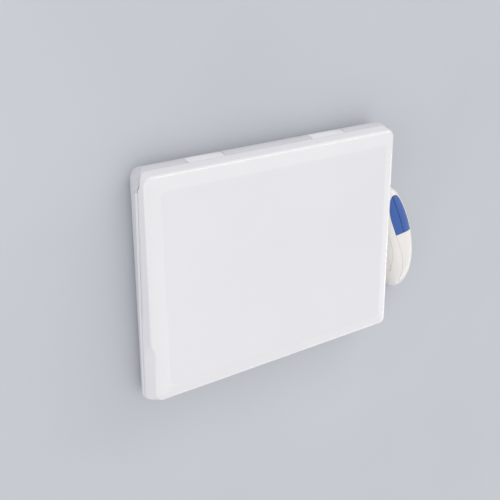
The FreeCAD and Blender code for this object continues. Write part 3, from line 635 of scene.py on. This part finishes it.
def prism_mesh(name, pts, at, mat, body, lift, thick=0.05):
    """Thin printed shape from a plan outline."""
    lo = [D(at[0] + px, at[1] + py, lift - thick) for px, py in pts]
    hi = [D(at[0] + px, at[1] + py, lift + thick) for px, py in pts]
    n = len(pts)
    fs = [tuple(range(n)), tuple(range(n, 2 * n))]
    for i in range(n):
        j = (i + 1) % n
        fs.append((i, j, n + j, n + i))
    return make_obj(name, lo + hi, fs, mat, body, sharp=30)


def ring_prism(name, outer, inner, at, mat, body, w0, w1):
    """Thin printed ring between two plan outlines of equal length."""
    n = len(outer)
    vs = [D(at[0] + a, at[1] + b, w) for w in (w0, w1) for loop in (outer, inner) for a, b in loop]
    fs = []
    for k in range(n):
        j = (k + 1) % n
        fs += [(k, j, n + j, n + k), (2 * n + k, 2 * n + j, 3 * n + j, 3 * n + k),
               (k, j, 2 * n + j, 2 * n + k), (n + k, n + j, 3 * n + j, 3 * n + k)]
    return make_obj(name, vs, fs, mat, body, sharp=30)


for name, x, v, w, d, ch in KEYS:
    mat = MAT["key_blue"] if name in ("key_enter", "key_space") else MAT["key"]
    build_key(name, x, v, w, d, mat)
    if ch:
        o = text_mesh(name + "_legend", ch, 7.4, (x, v), MAT["ink"], name, 2.49)
    elif name == "key_enter":
        arrow = [(-5.4, -0.6), (-1.8, -3.2), (-1.8, -1.5), (5.0, -1.5), (5.0, 3.0), (3.2, 3.0), (3.2, 0.3), (-1.8, 0.3), (-1.8, 2.0)]
        o = prism_mesh(name + "_legend", arrow, (x, v), MAT["ink_white"], name, 2.49)

# ------------------------------------------------------------------ printed number strip on the deck
STRIP = (-12.0, 66.0, 178.0, 12.0)
for i, ch in enumerate("1234567890"):
    x = STRIP[0] - 79.2 + 17.6 * i
    o = ring_prism("strip_cell_%d" % i, rr_ring(0, 0, 14.2, 9.4, 2.2, 5), rr_ring(0, 0, 13.2, 8.4, 1.8, 5),
                   (x, STRIP[1]), MAT["ink_white"], "base", 0.16, 0.24)
    o = text_mesh("strip_digit_%d" % i, ch, 5.8, (x, STRIP[1]), MAT["ink_white"], "base", 0.22)

# ------------------------------------------------------------------ printed shapes on the blue sheet inside the lid
ART_W = 4.2                     # face of the sheet, above the deck
PRINT = [
    ("ring", -98, -70, 6.4), ("dot", -80, -76, 2.2), ("tri", -84, -58, 5.2), ("plus", -102, -46, 5.4), ("square", -78, -38, 4.0),
    ("dot", -98, -28, 2.6), ("ring", -82, -16, 5.0), ("plus", -102, -6, 4.6), ("tri", -80, 8, 4.8), ("dot", -96, 16, 2.2),
    ("square", -104, 32, 4.2), ("ring", -82, 32, 6.0), ("plus", -94, 52, 5.0), ("dot", -76, 56, 2.4),
    ("tri", 98, -70, 5.6), ("square", 80, -74, 4.0), ("ring", 86, -52, 5.6), ("dot", 104, -48, 2.4), ("plus", 78, -32, 5.0),
    ("ring", 100, -26, 4.6), ("dot", 84, -14, 2.2), ("square", 102, -4, 4.4), ("plus", 80, 6, 4.6), ("ring", 98, 22, 6.2),
    ("tri", 78, 30, 4.8), ("dot", 94, 42, 2.4), ("plus", 104, 52, 4.8), ("square", 82, 54, 3.8),
    ("dot", -58, -66, 2.2), ("ring", -40, -60, 5.2), ("plus", -22, -72, 4.6), ("tri", -6, -58, 4.8), ("square", 14, -70, 4.0),
    ("dot", 30, -58, 2.4), ("ring", 46, -70, 5.4), ("plus", 60, -58, 4.4),
    ("square", -52, 58, 3.4), ("dot", -34, 56, 2.2), ("ring", -16, 58, 4.4), ("plus", 4, 57, 4.2), ("dot", 22, 58, 2.2),
    ("tri", 40, 57, 4.2), ("ring", 60, 58, 4.0),
]


def circle(r, n=36):
    return [(r * math.cos(2 * math.pi * k / n), r * math.sin(2 * math.pi * k / n)) for k in range(n)]


def turned(pts, deg):
    c, s = math.cos(math.radians(deg)), math.sin(math.radians(deg))
    return [(a * c - b * s, a * s + b * c) for a, b in pts]


for i, (kind, x, v, r) in enumerate(PRINT):
    ink = MAT["ink_white"] if i % 3 != 1 else MAT["ink_pale"]
    nm = "sheet_print_%02d" % i
    spin = (i * 37) % 50 - 25
    if kind == "ring":
        o = ring_prism(nm, circle(r), circle(r * 0.62), (x, v), ink, "lid", ART_W - 0.09, ART_W - 0.01)
    else:
        if kind == "dot":
            pts = circle(r, 24)
        elif kind == "square":
            pts = turned(rr_ring(0, 0, 2 * r, 2 * r, r * 0.35, 5), spin)
        elif kind == "tri":
            pts = turned([(r * math.cos(math.radians(a)), r * math.sin(math.radians(a))) for a in (-90, 30, 150)], spin)
        else:
            t = r * 0.3
            pts = turned([(-t, -r), (t, -r), (t, -t), (r, -t), (r, t), (t, t), (t, r), (-t, r), (-t, t), (-r, t), (-r, -t), (-t, -t)], spin)
        o = prism_mesh(nm, pts, (x, v), ink, "lid", ART_W - 0.05, 0.04)

# ------------------------------------------------------------------ camera
cam_d = bpy.data.cameras.new("camera")
cam = bpy.data.objects.new("camera", cam_d)
bpy.context.scene.collection.objects.link(cam)
cam_d.sensor_width = 36.0
cam_d.lens = 64.888
cam_d.clip_start = 0.01
right = Vector((0.80984, -0.00574, 0.58663)).normalized()
fwd = Vector((0.54533, -0.3613, -0.75636)).normalized()
up = right.cross(fwd).normalized()
right = fwd.cross(up).normalized()
rot = Matrix((right, up, -fwd)).transposed()
cam.matrix_world = Matrix.Translation(Vector(L(-452.88, 295.69, 613.55))) @ rot.to_4x4()
bpy.context.scene.camera = cam

# ------------------------------------------------------------------ floor and light
fm = bpy.data.meshes.new("floor")
S = 3.0
fm.from_pydata([(-S, -S, 0), (S, -S, 0), (S, S, 0), (-S, S, 0)], [], [(0, 1, 2, 3)])
floor = bpy.data.objects.new("floor", fm)
bpy.context.scene.collection.objects.link(floor)
fm.materials.append(floor_mat())
floor.location.z = -0.0002

world = bpy.data.worlds.new("studio")
bpy.context.scene.world = world
world.use_nodes = True
bg = world.node_tree.nodes["Background"]
bg.inputs["Color"].default_value = (0.985, 0.99, 1.0, 1)
bg.inputs["Strength"].default_value = 0.785


def area(name, loc, target, size, power, col=(1, 1, 1), size_y=None):
    ld = bpy.data.lights.new(name, "AREA")
    ld.energy = power
    ld.color = col
    ld.size = size
    if size_y:
        ld.shape = "RECTANGLE"
        ld.size_y = size_y
    o = bpy.data.objects.new(name, ld)
    bpy.context.scene.collection.objects.link(o)
    o.location = loc
    dvec = Vector(target) - Vector(loc)
    o.rotation_euler = dvec.to_track_quat("-Z", "Y").to_euler()
    return o


area("key_light", (0.35, -0.75, 1.25), (0.0, 0.0, 0.0), 1.0, 1.2, (1.0, 0.985, 0.97))
area("fill_light", (-1.2, 0.15, 0.55), (0.0, 0.0, 0.0), 0.9, 3.1, (0.97, 0.98, 1.0))
area("rear_strip", (1.35, 1.65, 0.9), (0.0, 0.1, 0.02), 2.7, 12.6, (1, 1, 1), 0.25)
area("front_strip", (1.95, -1.68, 0.26), (0.05, -0.05, 0.02), 2.7, 5.6, (1, 1, 1), 0.18)

bpy.context.scene.view_settings.view_transform = "Standard"
bpy.context.scene.view_settings.look = "None"
